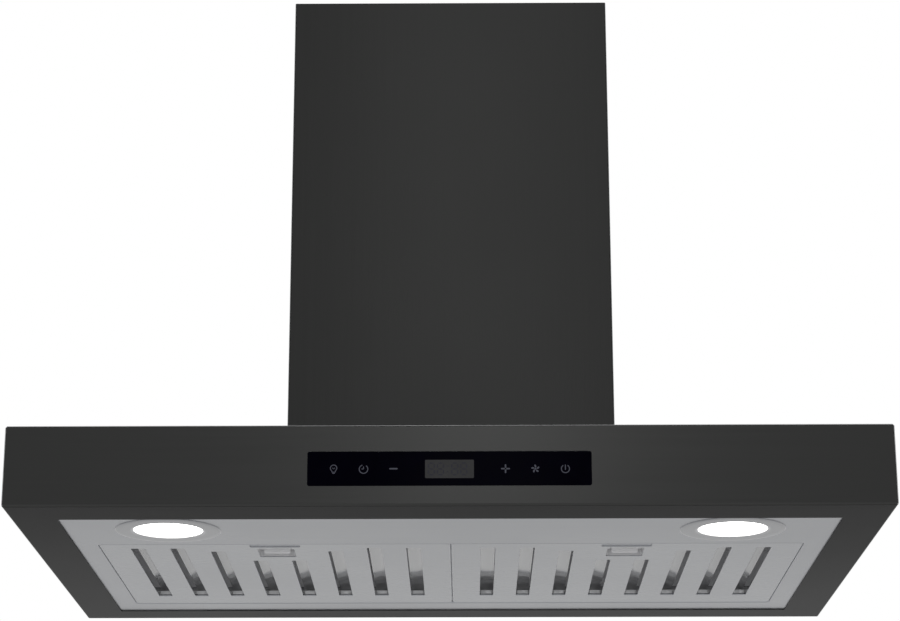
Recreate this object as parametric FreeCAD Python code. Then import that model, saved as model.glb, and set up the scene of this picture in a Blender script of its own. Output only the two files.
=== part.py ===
import FreeCAD, Part

# Wall-mounted chimney range hood, 750 mm wide, T shape: a low canopy with a
# telescoping chimney above it, two slotted baffle filters, two round lamps,
# a touch panel, and a double-inlet blower with a round outlet and damper.
#
# Millimetres. The solids are drawn with the canopy's underside at z = 0, the
# wall at y = 0 and the front at -Y, then moved down by Z_HANG, so the row
# frame's origin is the centre of the two wall hanging holes, on the wall.

import math
import os

os.makedirs("parts", exist_ok=True)
V = FreeCAD.Vector

# ---------------------------------------------------------------- dimensions
W, D, H = 750.0, 500.0, 70.0  # canopy outside
T = 1.0  # canopy sheet
R_BEND = 2.0  # outside bend radius of the canopy
LIP_FRONT, LIP_SIDE, LIP_REAR = 49.0, 39.6, 37.5  # inward bottom flanges
UNDER_Z = T  # the underside panel lies on those flanges
Z_HANG = 262.0  # height of the hanging holes above the underside
HANG_X, HANG_R = 110.0, 4.5
LOWER_X, LOWER_Z, LOWER_R = 300.0, 45.0, 3.25  # locking screws low on the wall

CH_W, CH_D, CH_TOP = 306.0, 280.0, 560.0  # lower chimney outside, top height
CH_T = 0.8
UP_GAP = 0.6  # slide gap between the two chimneys
UP_TRAVEL = 400.0

PANEL_T = 0.8  # stainless underside panel
OPEN_X, OPEN_F, OPEN_R = 316.0, -346.6, -71.6  # its filter opening
OPEN_LIP = 7.3  # top of the opening's turned-up edge
OPEN_CORNER, OPEN_BEND = 5.5, 1.2

FIL_GAP = 0.3  # half the seam between the filters
FIL_X1 = 315.5  # outer side of a filter
FIL_F, FIL_R = -346.0, -72.5  # its front and rear
FIL_Z0, FIL_Z1 = 1.3, 14.9
FIL_T = 0.8
FIL_BEND, FIL_CORNER = 1.2, 5.0
SLOT_N, SLOT_PITCH, SLOT_W = 8, 35.5, 13.0
SLOT_F, SLOT_R = -328.0, -108.5
SLOT_RIM, SLOT_TAB, SLOT_ROLL = 1.9, 5.2, 0.6
SLOT_F_MID, SLOT_F_NEAR = -275.0, -314.5  # shorter slots by the latch
WEB_Z, WEB_W, WEB_R = 13.6, 13.4, 18.0  # underside, width and arch radius of the inner baffles
LATCH_TRAVEL = 6.0
TAB_Y, TAB_W, TONGUE_W = -306.0, 24.0, 22.0  # front face and width of the latch's finger tab, width of its tongue
CUP_W, CUP_F, CUP_R, CUP_Z1 = 33.0, -328.0, -291.5, 12.7  # finger recess
REBATE_W, REBATE_F, REBATE_R, REBATE_Z = 45.0, -343.6, -332.6, 1.2  # shallow pressed step ahead of it
SLIDE_Z0, SLIDE_Z1 = 8.5, 10.0

LAMP_X, LAMP_Y = 246.0, -404.5
LAMP_BEZEL_R, LAMP_LENS_R = 46.0, 30.0

GLASS_X, GLASS_Z0, GLASS_Z1 = 119.2, 17.3, 46.7
GLASS_IN = 0.2  # how far its face sits behind the canopy's
ICON_X = (-97.2, -72.1, -47.0, 47.0, 72.1, 97.2)
ICON_Z = 31.6

BOX_X, BOX_F, BOX_TOP = 138.0, -262.0, 292.0  # blower box
VOL_X = 65.0  # half width of the scroll
WHEEL_Y, WHEEL_Z, WHEEL_R = -105.0, 185.0, 80.0
COLLAR_Y, COLLAR_R, COLLAR_TOP = -160.0, 75.0, 346.0
FLAP_Z, FLAP_R = 318.0, 73.0
SHAFT_R = 4.0
BEARING_ID_R = 4.03


# ------------------------------------------------------------------- helpers
def box(x0, x1, y0, y1, z0, z1):
    return Part.makeBox(x1 - x0, y1 - y0, z1 - z0, V(x0, y0, z0))


def cyl(r, p, d, h):
    return Part.makeCylinder(r, h, V(*p), V(*d))


def ring(r1, r0, p, d, h):
    e = V(*d).normalize() * 1.0
    q = V(*p) - e
    return cyl(r1, p, d, h).cut(Part.makeCylinder(r0, h + 2, q, V(*d)))


def fuse(shapes):
    shapes = list(shapes)
    s = shapes[0].multiFuse(shapes[1:]) if len(shapes) > 1 else shapes[0]
    s = s.removeSplitter()
    return s


def cut(s, tools):
    return s.cut(Part.makeCompound(list(tools)))


def rounded(s, r, keep):
    edges = [e for e in s.Edges if keep(e)]
    return s.makeFillet(r, edges)


def along(e, axis):
    a, b = e.Vertexes[0].Point, e.Vertexes[-1].Point
    d = b - a
    return d.Length > 1e-6 and abs(abs(getattr(d, axis)) - d.Length) < 1e-6


def at(e, **kw):
    return all(abs(getattr(v.Point, k) - x) < 1e-6 for v in e.Vertexes for k, x in kw.items())


def rbox(x0, x1, y0, y1, z0, z1, r, axis="z"):
    """A box with the four edges along one axis rounded."""
    s = box(x0, x1, y0, y1, z0, z1)
    return rounded(s, r, lambda e: along(e, axis))


def prism(points, plane, at_, depth):
    """A closed outline in plane 'xy', 'yz' or 'xz', extruded along the third axis."""
    def p3(p):
        a, b = p
        return {"xy": V(a, b, at_), "yz": V(at_, a, b), "xz": V(a, at_, b)}[plane]
    pts = [p3(p) for p in points]
    w = Part.makePolygon(pts + [pts[0]])
    d = {"xy": V(0, 0, depth), "yz": V(depth, 0, 0), "xz": V(0, depth, 0)}[plane]
    return Part.Face(w).extrude(d)


def revolve(profile, cx, cy):
    """Profile points (r, z) turned about the vertical axis through (cx, cy)."""
    pts = [V(r, 0, z) for r, z in profile]
    f = Part.Face(Part.makePolygon(pts + [pts[0]]))
    s = f.revolve(V(0, 0, 0), V(0, 0, 1), 360)
    s.translate(V(cx, cy, 0))
    return s


def hexagon(af, p, d, h):
    d = V(*d).normalize()
    u = V(0, 0, 1) if abs(d.z) < 0.9 else V(1, 0, 0)
    w = d.cross(u).normalize()
    u = w.cross(d)
    r = af / math.sqrt(3)
    pts = [V(*p) + u * (r * math.cos(math.radians(60 * k))) + w * (r * math.sin(math.radians(60 * k))) for k in range(6)]
    return Part.Face(Part.makePolygon(pts + [pts[0]])).extrude(d * h)


def pan_screw(p, d, r, length, head_r=3.6, head_h=2.2):
    """A pan-head screw: p is the seat of the head, d points from the seat into the work."""
    d = V(*d).normalize()
    p = V(*p)
    head = Part.makeCylinder(head_r, head_h, p - d * head_h, d)
    head = rounded(head, head_h * 0.45, lambda e: e.Curve.TypeId == "Part::GeomCircle" and (e.Vertexes[0].Point - p).dot(d) < -head_h + 1e-3)
    shank = Part.makeCylinder(r, length, p, d)
    u = V(0, 0, 1) if abs(d.z) < 0.9 else V(1, 0, 0)
    w = d.cross(u).normalize()
    u = w.cross(d)
    top = p - d * head_h
    s = head.fuse(shank)
    for a, b in ((u, w), (w, u)):
        q = top - a * (head_r * 0.62) - b * 0.45
        f = Part.Face(Part.makePolygon([q, q + a * (head_r * 1.24), q + a * (head_r * 1.24) + b * 0.9, q + b * 0.9, q]))
        s = s.cut(f.extrude(d * (head_h * 0.55)))
    return s


def tube(points, r, tight=None):
    """A lead of radius r along straight runs joined by tangent arcs."""
    pts = [V(*p) for p in points]
    edges, start, radii = [], pts[0], []
    for k in range(1, len(pts) - 1):
        a, b, c = pts[k - 1], pts[k], pts[k + 1]
        u, w = (a - b), (c - b)
        lu, lw = u.Length, w.Length
        u.normalize(), w.normalize()
        turn = math.pi - math.acos(max(-1.0, min(1.0, u.dot(w))))
        cutback = 0.45 * min(lu, lw)
        rad = cutback / math.tan(turn / 2)
        if tight:
            rad = min(rad, tight)
            cutback = rad * math.tan(turn / 2)
        radii.append(rad)
        p, q = b + u * cutback, b + w * cutback
        bis = (u + w).normalize()
        centre = b + bis * (rad / math.cos(turn / 2))
        mid = centre - bis * rad
        edges.append(Part.makeLine(start, p))
        edges.append(Part.Arc(p, mid, q).toShape())
        start = q
    edges.append(Part.makeLine(start, pts[-1]))
    path = Part.Wire(edges)
    d = (pts[1] - pts[0]).normalize()
    prof = Part.Wire([Part.Circle(pts[0], d, r).toShape()])
    s = path.makePipeShell([prof], True, False)
    want = math.pi * r * r * path.Length
    print("lead length %.0f  volume ratio %.4f  smallest radius %.1f" % (path.Length, s.Volume / want, min(radii)))
    return s


def coil(r, wire, pitch, turns, p, d):
    """A compression spring: p is one end's centre, d its direction."""
    h = Part.makeHelix(pitch, pitch * turns, r)
    prof = Part.Wire([Part.Circle(V(r, 0, 0), V(0, 1, pitch / (2 * math.pi * r)), wire).toShape()])
    s = Part.Wire(h).makePipeShell([prof], True, True)
    rot = FreeCAD.Rotation(V(0, 0, 1), V(*d))
    s.Placement = FreeCAD.Placement(V(*p), rot)
    return s


made = {}


def put(name, shape):
    solids = shape.Solids
    for s in solids:
        if not s.isValid() or s.Volume <= 0:
            print("CHECK", name, "valid", s.isValid(), "volume", s.Volume)
    out = solids[0].copy() if len(solids) == 1 else Part.makeCompound([s.copy() for s in solids])
    out.translate(V(0, 0, -Z_HANG))
    made[name] = out
    out.exportStep("parts/%s.step" % name)
    print("%-28s solids %2d volume %.0f" % (name, len(solids), sum(s.Volume for s in solids)))


def mirror_x(s):
    return s.mirror(V(0, 0, 0), V(1, 0, 0))


# -------------------------------------------------------------------- canopy
HX, LX = W / 2, W / 2 - LIP_SIDE  # outside half width, opening half width
LY0, LY1 = -D + LIP_FRONT, -LIP_REAR  # opening front and rear

STUDS = [(sx * 350.0, y) for sx in (-1, 1) for y in (-420.0, -290.0, -160.0, -40.0)] + [(-180.0, -459.0), (0.0, -459.0), (180.0, -459.0)]
CH_SCREWS = [(-147.6, -60.0), (147.6, -60.0), (-147.6, -220.0), (147.6, -220.0), (-70.0, -274.6), (70.0, -274.6)]
BOX_SCREWS = [(-133.3, -50.0), (133.3, -50.0), (-133.3, -205.0), (133.3, -205.0), (-60.0, -257.3), (60.0, -257.3)]


def canopy_shell():
    outer = box(-HX, HX, -D, -T, 0, H)
    outer = rounded(outer, R_BEND, lambda e: not at(e, y=-T))
    inner = box(-HX + T, HX - T, -D + T, 5, T, H - T)
    inner = rounded(inner, R_BEND - T, lambda e: not at(e, y=5))
    s = outer.cut(inner)
    s = cut(s, [box(-LX, LX, LY0, 5, -1, 2),
                box(-130, 130, -254, -11, H - 2, H + 1),
                rbox(-GLASS_X - 0.25, GLASS_X + 0.25, -D - 1, -D + 2, GLASS_Z0 - 0.25, GLASS_Z1 + 0.25, 2.1, "y")])
    studs = [cyl(2.0, (x, y, 0.6), (0, 0, 1), 12.4) for x, y in STUDS]
    s = fuse([s] + studs)
    holes = [cyl(1.7, (x, y, H - 3), (0, 0, 1), 6) for x, y in CH_SCREWS + BOX_SCREWS]
    return cut(s, holes)


def rear_panel():
    back = rbox(-HX, HX, -T, 0, 0, H, R_BEND, "y")
    lip = box(-LX, LX, -LIP_REAR, -T, 0, T)
    top = box(-HX + 6, HX - 6, -10, -T, H - 2 * T, H - T)
    s = fuse([back, lip, top])
    holes = [cyl(LOWER_R, (sx * LOWER_X, -5, LOWER_Z), (0, 1, 0), 10) for sx in (-1, 1)]
    return cut(s, holes)


def light_panel():
    """Its opening's edge bends up on a radius: one solid less the space above the sheet."""
    z0, t = UNDER_Z, PANEL_T
    on_rim = lambda e, z, d: at(e, z=z) and all(abs(v.X) < OPEN_X + d + 0.1 and OPEN_F - d - 0.1 < v.Y < OPEN_R + d + 0.1 for v in e.Vertexes)
    s = rbox(-LX - 20, LX + 20, LY0 - 20, -8, z0, OPEN_LIP, 3.0)
    s = s.cut(rbox(-OPEN_X, OPEN_X, OPEN_F, OPEN_R, z0 - 1, OPEN_LIP + 1, OPEN_CORNER))
    s = rounded(s, OPEN_BEND, lambda e: on_rim(e, z0, 0))
    over = box(-LX - 25, LX + 25, LY0 - 25, -3, z0 + t, OPEN_LIP + 1)
    over = over.cut(rbox(-OPEN_X - t, OPEN_X + t, OPEN_F - t, OPEN_R + t, z0, OPEN_LIP + 2, OPEN_CORNER + t))
    over = rounded(over, OPEN_BEND - t, lambda e: on_rim(e, z0 + t, t))
    tools = [over] + [cyl(36.6, (sx * LAMP_X, LAMP_Y, 0), (0, 0, 1), 20) for sx in (-1, 1)]
    tools += [cyl(2.3, (x, y, 0), (0, 0, 1), 10) for x, y in STUDS]
    return cut(s, tools)


put("canopy_shell", canopy_shell())
put("rear_panel", rear_panel())
put("light_panel", light_panel())

nuts = []
for x, y in STUDS:
    z = UNDER_Z + PANEL_T
    n = cyl(4.6, (x, y, z), (0, 0, 1), 0.9).fuse(hexagon(7.0, (x, y, z + 0.8), (0, 0, 1), 3.0))
    nuts.append(n.cut(cyl(2.03, (x, y, z - 1), (0, 0, 1), 8)).removeSplitter())
put("panel_nuts", Part.makeCompound(nuts))

# ---------------------------------------------------------------- blower box
LEAD_UP = [(-115.0, -240.0), (-93.0, -240.0), (115.0, -240.0), (104.0, -105.0)]  # lead holes in its top
COLLAR_SCREWS = [(sx * 79.0, COLLAR_Y + sy * 79.0) for sx in (-1, 1) for sy in (-1, 1)]
CAP_X, CAP_Y, CAP_STUD = 92.0, -30.0, 4.0


def blower_box():
    outer = box(-BOX_X, BOX_X, BOX_F, -2, H, BOX_TOP)
    outer = rounded(outer, 1.8, lambda e: not at(e, y=-2) and not at(e, z=H))
    inner = box(-BOX_X + 1, BOX_X - 1, BOX_F + 1, 3, H + 1, BOX_TOP - 1)
    inner = rounded(inner, 0.8, lambda e: not at(e, y=3) and not at(e, z=H + 1))
    s = outer.cut(inner)
    tools = [box(-130, 130, -254, 3, H - 1, H + 2),
             cyl(73.0, (0, COLLAR_Y, BOX_TOP - 3), (0, 0, 1), 6),
             cyl(CAP_STUD, (CAP_X, CAP_Y, BOX_TOP - 3), (0, 0, 1), 6)]
    tools += [cyl(6.0, (x, y, BOX_TOP - 3), (0, 0, 1), 6) for x, y in LEAD_UP]
    tools += [cyl(1.7, (x, y, BOX_TOP - 3), (0, 0, 1), 6) for x, y in COLLAR_SCREWS]
    tools += [cyl(2.1, (x, y, H - 1), (0, 0, 1), 3) for x, y in BOX_SCREWS]
    return cut(s, tools)


put("blower_box", blower_box())

# the thick plate that carries the hood on two wall hooks
hang = rbox(-BOX_X, BOX_X, -2, 0, H, BOX_TOP, 3.0, "y")
hang = cut(hang, [cyl(HANG_R, (sx * HANG_X, -5, Z_HANG), (0, 1, 0), 10) for sx in (-1, 1)])
put("hanging_plate", hang)

screws = [pan_screw((x, y, H + 1), (0, 0, -1), 1.65, 4.6) for x, y in BOX_SCREWS]
screws += [pan_screw((x, y, H + CH_T), (0, 0, -1), 1.65, 4.6) for x, y in CH_SCREWS]
screws += [pan_screw((x, y, BOX_TOP + 1.2), (0, 0, -1), 1.65, 4.6) for x, y in COLLAR_SCREWS]

# -------------------------------------------------------------------- scroll


def scroll_points(extra, n=13):
    """Points of the scroll's wall, from the tongue over the rear and bottom to the front, then up."""
    pts = []
    for k in range(n):
        a = math.radians(270.0 * k / (n - 1))
        r = 86.0 + 36.0 * (270.0 * k / (n - 1)) / 270.0 + extra
        pts.append(V(0, WHEEL_Y + r * math.sin(a), WHEEL_Z + r * math.cos(a)))
    return pts


def scroll_wire(extra):
    """Closed outline in the YZ plane of everything inside the scroll's wall."""
    pts = scroll_points(extra)
    edges = []
    for k in range(0, len(pts) - 2, 2):
        edges.append(Part.Arc(pts[k], pts[k + 1], pts[k + 2]).toShape())
    top = BOX_TOP - 1.0
    last, first = pts[-1], pts[0]
    edges.append(Part.makeLine(last, V(0, last.y, top)))
    inner_y = first.y - 3.0 + extra
    edges.append(Part.makeLine(V(0, last.y, top), V(0, inner_y, top)))
    edges.append(Part.makeLine(V(0, inner_y, top), V(0, inner_y, first.z + 4)))
    edges.append(Part.makeLine(V(0, inner_y, first.z + 4), first))
    return Part.Wire(edges)


def scroll_solid(extra, x0, x1):
    f = Part.Face(scroll_wire(extra))
    s = f.extrude(V(x1 - x0, 0, 0))
    s.translate(V(x0, 0, 0))
    return s


INLET_R = 63.0
wall = scroll_solid(0.8, -VOL_X, VOL_X - 0.8).cut(scroll_solid(0.0, -VOL_X + 0.8, VOL_X + 1))
wall = wall.cut(cyl(INLET_R, (-VOL_X - 5, WHEEL_Y, WHEEL_Z), (1, 0, 0), 12))
wall = wall.fuse(ring(INLET_R + 1.0, INLET_R, (-VOL_X, WHEEL_Y, WHEEL_Z), (1, 0, 0), 5.5)).removeSplitter()
put("scroll_housing", wall)

plate = scroll_solid(0.8, VOL_X - 0.8, VOL_X)
plate = plate.cut(cyl(INLET_R, (VOL_X - 10, WHEEL_Y, WHEEL_Z), (1, 0, 0), 20))
plate = plate.fuse(ring(INLET_R + 1.0, INLET_R, (VOL_X - 5.5, WHEEL_Y, WHEEL_Z), (1, 0, 0), 5.5)).removeSplitter()
ARM_A = (30.0, 150.0, 270.0)


def polar(r, a):
    return WHEEL_Y + r * math.cos(math.radians(a)), WHEEL_Z + r * math.sin(math.radians(a))


plate = cut(plate, [cyl(1.7, (VOL_X - 4, *polar(72.0, a)), (1, 0, 0), 8) for a in ARM_A])
put("scroll_side_plate", plate)

# --------------------------------------------------------------- wheel, motor


def blower_wheel():
    c = (WHEEL_Y, WHEEL_Z)
    r0, r1, hw = 67.0, WHEEL_R, 54.0
    parts = [cyl(r1, (-0.9, *c), (1, 0, 0), 1.8)]
    for x in (-hw, hw - 2.4):
        parts.append(ring(r1, r0 + 3.0, (x, *c), (1, 0, 0), 2.4))
    n = 36
    # one forward-curved blade as an arc-shaped bar
    a0, a1 = V(0, r0, 0), None
    p0 = V(0, r0, 0.0)
    p1 = V(0, r1 - 0.2, 6.0)
    mid = (p0 + p1) * 0.5 + V(0, 1.6, -2.2)
    t = 0.9
    off = V(0, -0.45, 0.9)
    outer = Part.Arc(p0, mid, p1).toShape()
    q0, qm, q1 = p0 + V(0, -0.2, t), mid + V(0, -0.5, t), p1 + V(0, -0.75, t * 0.8)
    inner = Part.Arc(q1, qm, q0).toShape()
    w = Part.Wire([outer, Part.makeLine(p1, q1), inner, Part.makeLine(q0, p0)])
    blade = Part.Face(w).extrude(V(2 * hw - 0.4, 0, 0))
    blade.translate(V(-hw + 0.2, 0, 0))
    for k in range(n):
        b = blade.copy()
        b.rotate(V(0, 0, 0), V(1, 0, 0), 360.0 * k / n)
        b.translate(V(0, *c))
        parts.append(b)
    hub = cyl(13.0, (-14.0, *c), (1, 0, 0), 14.0)
    parts.append(hub)
    ribs = []
    for k in range(6):
        rb = box(-6.0, -0.5, -1.0, 1.0, 12.0, 60.0)
        rb.rotate(V(0, 0, 0), V(1, 0, 0), 60.0 * k)
        rb.translate(V(0, *c))
        ribs.append(rb)
    s = parts[0].multiFuse(parts[1:] + ribs)
    s = s.cut(cyl(SHAFT_R, (-20, *c), (1, 0, 0), 40))
    return s.removeSplitter()


put("blower_wheel", blower_wheel())

C = (WHEEL_Y, WHEEL_Z)
AX = (1, 0, 0)
shaft = cyl(SHAFT_R, (-22, *C), AX, 103.5)
shaft = rounded(shaft, 0.6, lambda e: e.Curve.TypeId == "Part::GeomCircle")
put("motor_shaft", shaft)

rotor = ring(24.0, SHAFT_R, (33, *C), AX, 26.0)
cage = [ring(23.0, 16.0, (31.5, *C), AX, 1.5), ring(23.0, 16.0, (59.0, *C), AX, 1.5)]
put("motor_rotor", fuse([rotor] + cage))

stator = ring(46.0, 24.4, (34, *C), AX, 24.0)
slots = []
for k in range(12):
    s_ = box(33, 59, -3.2, 3.2, 26.5, 37.2)
    s_ = s_.fuse(box(33, 59, -1.2, 1.2, 24.0, 27.0))
    s_.rotate(V(0, 0, 0), V(1, 0, 0), 30.0 * k)
    s_.translate(V(0, *C))
    slots.append(s_)
for k in range(4):
    h_ = cyl(2.3, (33, *polar(42.4, 45 + 90 * k)), AX, 26)
    slots.append(h_)
put("motor_stator", cut(stator, slots))

windings = []
for x in (27.6, 58.0):
    windings.append(ring(36.6, 27.5, (x, *C), AX, 6.4))
for k in range(12):
    s_ = box(34.0, 58.0, -3.0, 3.0, 27.6, 36.6)
    s_.rotate(V(0, 0, 0), V(1, 0, 0), 30.0 * k)
    s_.translate(V(0, *C))
    windings.append(s_)
put("motor_windings", fuse(windings))


def motor_shell(front):
    """A die-cast half with a bearing seat, spoked vents and four screw lugs."""
    x_in, x_out = (34.0, 9.5) if front else (58.0, 82.5)
    sx = 1 if front else -1
    x_lo, x_hi = min(x_in, x_out), max(x_in, x_out)
    body = cyl(46.0, (x_lo, *C), AX, x_hi - x_lo)
    edge_x = x_out
    body = rounded(body, 4.0, lambda e: e.Curve.TypeId == "Part::GeomCircle" and abs(e.Vertexes[0].Point.x - edge_x) < 1e-3)
    cav_lo, cav_hi = (x_out + 2.5, x_in + 5) if front else (x_in - 5, x_out - 2.5)
    body = body.cut(cyl(40.0, (cav_lo, *C), AX, cav_hi - cav_lo))
    seat_lo = x_out if front else x_out - 10.0
    seat = cyl(14.0, (seat_lo, *C), AX, 10.0)
    body = body.fuse(seat)
    for k in range(4):
        body = body.fuse(cyl(5.2, (x_lo, *polar(42.4, 45 + 90 * k)), AX, x_hi - x_lo).common(cyl(46.0, (x_lo, *C), AX, x_hi - x_lo)))
    bore_lo = x_out + 2.2 if front else x_out - 20
    body = body.cut(cyl(11.0, (bore_lo, *C), AX, 17.8))
    body = body.cut(cyl(6.0, (x_out - 5, *C), AX, 10))
    vents = []
    for k in range(8):
        v = box(x_out - 5, x_out + 5, -4.0, 4.0, 19.0, 34.0)
        v = rounded(v, 3.0, lambda e: along(e, "x"))
        v.rotate(V(0, 0, 0), V(1, 0, 0), 45.0 * k)
        v.translate(V(0, *C))
        vents.append(v)
    body = cut(body, vents)
    body = cut(body, [cyl(2.15, (x_lo - 1, *polar(42.4, 45 + 90 * k)), AX, x_hi - x_lo + 2) for k in range(4)])
    return body.removeSplitter()


put("motor_front_shell", motor_shell(True))
put("motor_rear_shell", motor_shell(False))

bearings = []
for x in (12.0, 73.0):
    outer = ring(11.0, 9.0, (x, *C), AX, 7.0)
    inner = ring(6.0, BEARING_ID_R, (x, *C), AX, 7.0)
    cage_ = ring(9.0, 6.0, (x + 1.0, *C), AX, 5.0)
    bearings.append(fuse([outer, inner, cage_]))
put("motor_bearings", Part.makeCompound(bearings))

tie = []
for k in range(4):
    y, z = polar(42.4, 45 + 90 * k)
    tie.append(pan_screw((84.1, y, z), (-1, 0, 0), 2.0, 71.0, 3.6, 2.6))
put("motor_tie_screws", Part.makeCompound(tie))


def motor_bracket():
    """A pressed spider: a ring under the tie screws' heads and three arms to the side plate."""
    parts = [ring(46.0, 35.0, (82.5, *C), AX, 1.6)]
    for a in ARM_A:
        arm = box(82.5, 84.1, -8.0, 8.0, 44.0, 79.0)
        leg = box(65.0, 84.1, -8.0, 8.0, 77.4, 79.0)
        foot = box(65.0, 66.6, -8.0, 8.0, 67.0, 79.0)
        b = arm.fuse(leg).fuse(foot)
        b.rotate(V(0, 0, 0), V(1, 0, 0), a - 90.0)
        b.translate(V(0, *C))
        parts.append(b)
    s = fuse(parts)
    holes = [cyl(2.1, (60, *polar(72.0, a)), AX, 10) for a in ARM_A]
    holes += [cyl(2.2, (80, *polar(42.4, 45 + 90 * k)), AX, 6) for k in range(4)]
    return cut(s, holes)


put("motor_bracket", motor_bracket())
screws += [pan_screw((66.6, *polar(72.0, a)), (-1, 0, 0), 1.65, 4.6) for a in ARM_A]
put("sheet_screws", Part.makeCompound(screws))

# ------------------------------------------------------------ outlet, damper


def outlet_collar():
    z = BOX_TOP
    flange = rbox(-88, 88, COLLAR_Y - 88, COLLAR_Y + 88, z, z + 1.2, 8.0)
    tube_ = cyl(COLLAR_R, (0, COLLAR_Y, z), (0, 0, 1), COLLAR_TOP - z)
    s = flange.fuse(tube_)
    s = s.cut(cyl(COLLAR_R - 1.0, (0, COLLAR_Y, z - 1), (0, 0, 1), 100))
    lugs = []
    for sx in (-1, 1):
        for dy in (-26.0, 26.0):
            lug = box(*sorted((sx * 62.0, sx * 74.5)), COLLAR_Y + dy - 3, COLLAR_Y + dy + 3, FLAP_Z - 4.0, FLAP_Z - 0.7)
            lugs.append(lug.common(cyl(COLLAR_R - 0.5, (0, COLLAR_Y, 0), (0, 0, 1), 400)))
    s = fuse([s] + lugs)
    s = s.cut(cyl(2.0, (0, COLLAR_Y - 90, FLAP_Z), (0, 1, 0), 180))
    holes = [cyl(2.1, (x, y, z - 1), (0, 0, 1), 4) for x, y in COLLAR_SCREWS]
    return cut(s, holes)


put("outlet_collar", outlet_collar())
rod = cyl(2.0, (0, COLLAR_Y - COLLAR_R, FLAP_Z), (0, 1, 0), 2 * COLLAR_R)
put("damper_rod", rod)
KN = 3.2  # knuckle radius


def flap(side):
    """A half-moon flap hinged on the rod. Its knuckles alternate with the other flap's."""
    disc = cyl(FLAP_R, (0, COLLAR_Y, FLAP_Z - 0.5), (0, 0, 1), 1.0)
    x0, x1 = sorted((side * 2.4, side * 200))
    s = disc.common(box(x0, x1, COLLAR_Y - 100, COLLAR_Y + 100, 0, 400))
    mine, theirs = [], []
    edges = [-66, -44, -22, 0, 22, 44, 66]
    for k in range(6):
        (mine if (k % 2 == 0) == (side < 0) else theirs).append((edges[k], edges[k + 1]))
    kn = [cyl(KN, (0, COLLAR_Y + a + 0.3, FLAP_Z), (0, 1, 0), b - a - 0.6) for a, b in mine]
    s = fuse([s] + kn)
    x0, x1 = sorted((0, side * 3.7))
    x0b, x1b = sorted((side * -5, side * 3.7))
    tools = [box(x0b, x1b, COLLAR_Y + a - 0.3, COLLAR_Y + b + 0.3, FLAP_Z - 2, FLAP_Z + 2) for a, b in theirs]
    tools += [box(x0b, x1b, COLLAR_Y + a, COLLAR_Y + b, FLAP_Z - 2, FLAP_Z + 2) for a, b in ((-90, -65.7), (65.7, 90))]
    tools.append(cyl(2.05, (0, COLLAR_Y - 100, FLAP_Z), (0, 1, 0), 200))
    s = cut(s, tools)
    rib = [box(*sorted((side * 20, side * 60)), COLLAR_Y + dy - 0.8, COLLAR_Y + dy + 0.8, FLAP_Z - 0.4, FLAP_Z + 2.4) for dy in (-20, 20)]
    return fuse([s] + rib)


put("damper_flap_left", flap(-1))
put("damper_flap_right", flap(1))

# ------------------------------------------------------------------ chimneys


def lower_chimney():
    hx = CH_W / 2
    o = box(-hx, hx, -CH_D, 0, H, CH_TOP)
    o = rounded(o, 1.6, lambda e: along(e, "z") and at(e, y=-CH_D))
    i = box(-hx + CH_T, hx - CH_T, -CH_D + CH_T, -CH_T, H + CH_T, CH_TOP + 1)
    i = rounded(i, 0.8, lambda e: along(e, "z") and at(e, y=-CH_D + CH_T))
    s = o.cut(i)
    s = cut(s, [box(-hx + 10, hx - 10, -CH_D + 10, 5, H - 1, H + 3),
                box(-hx + 11.5, hx - 11.5, -3, 3, H - 1, CH_TOP + 1)])
    return cut(s, [cyl(2.1, (x, y, H - 1), (0, 0, 1), 4) for x, y in CH_SCREWS])


def upper_chimney():
    g = CH_T + UP_GAP
    hx = CH_W / 2 - g
    y0, y1 = -CH_D + g, -CH_T - 0.4
    z0, z1 = H + 10, CH_TOP - 2
    o = box(-hx, hx, y0, y1, z0, z1)
    o = rounded(o, 1.0, lambda e: along(e, "z") and at(e, y=y0))
    i = box(-hx + CH_T, hx - CH_T, y0 + CH_T, y1 - CH_T, z0 - 1, z1 + 1)
    s = o.cut(i)
    s = s.cut(box(-hx + 9.5, hx - 9.5, y1 - 2, y1 + 2, z0 - 1, z1 + 1))
    # recirculation louvres near the top of both sides
    louvres = []
    for k in range(9):
        for yc in (-196.0, -98.0):
            z = 430.0 + 10.0 * k
            l = box(-hx - 5, hx + 5, yc - 38, yc + 38, z, z + 3.6)
            louvres.append(rounded(l, 1.7, lambda e: along(e, "x")))
    holes = [cyl(1.65, (-hx - 5, -22, 530), (1, 0, 0), 2 * hx + 10)]
    return cut(s, louvres + holes)


put("lower_chimney", lower_chimney())
put("upper_chimney", upper_chimney())
BR_X = CH_W / 2 - CH_T - UP_GAP - CH_T  # inner face of the upper chimney's side


def bracket():
    t = 1.5
    z0, z1 = 515.0, 545.0
    pts = [(0, 0), (139, 0), (139, -3.2), (BR_X, -3.2), (BR_X, -36), (BR_X - t, -36), (BR_X - t, -3.2 - t), (139 - t, -3.2 - t), (139 - t, -t), (0, -t)]
    right = prism(pts, "xy", z0, z1 - z0)
    s = fuse([right, mirror_x(right)])
    holes = [cyl(3.0, (sx * 90, -5, 530), (0, 1, 0), 10) for sx in (-1, 1)]
    holes += [cyl(1.65, (-160, -22, 530), (1, 0, 0), 320)]
    return cut(s, holes)


put("chimney_wall_bracket", bracket())
put("bracket_screws", Part.makeCompound([pan_screw((sx * (BR_X - 1.5), -22, 530), (sx, 0, 0), 1.6, 2.2, 3.4, 2.0) for sx in (-1, 1)]))

# -------------------------------------------------------------------- lamps


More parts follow.
